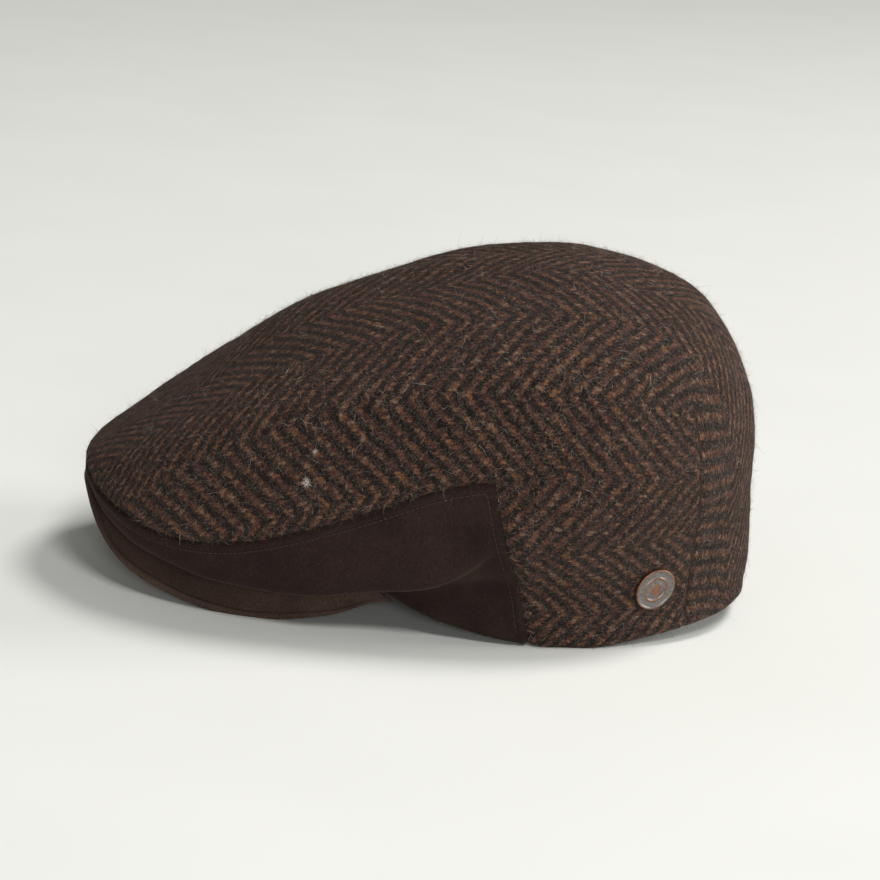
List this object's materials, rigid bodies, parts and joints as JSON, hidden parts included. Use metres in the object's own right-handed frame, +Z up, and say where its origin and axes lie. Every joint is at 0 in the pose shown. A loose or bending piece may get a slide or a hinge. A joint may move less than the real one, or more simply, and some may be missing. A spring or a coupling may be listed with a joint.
{
  "type": "flat cap",
  "caption": "Flat cap with a full rounded crown that overhangs a short stiff brim, a dark side band and a small round metal badge.",
  "frame": {"origin": "middle of the cap's bounding box in plan, on the surface that the cap rests on", "axes": "+Z up as the cap rests on its brim and hem, -Y towards the front of the brim, +X towards the wearer's left, where the badge is"},
  "size_m": [0.196, 0.2768, 0.144],
  "materials": {
    "herringbone_wool": "hairy herringbone wool, rust brown on charcoal",
    "napped_cotton": "fine napped dark brown cotton",
    "napped_cotton_brim": "fine napped dark brown cotton over a stiff board",
    "aged_metal": "aged copper with a blue grey patina"
  },
  "bodies": {
    "root": {"crown": "herringbone_wool", "side_band": "napped_cotton", "brim": "napped_cotton_brim", "badge": "aged_metal"}
  },
  "joints": []
}
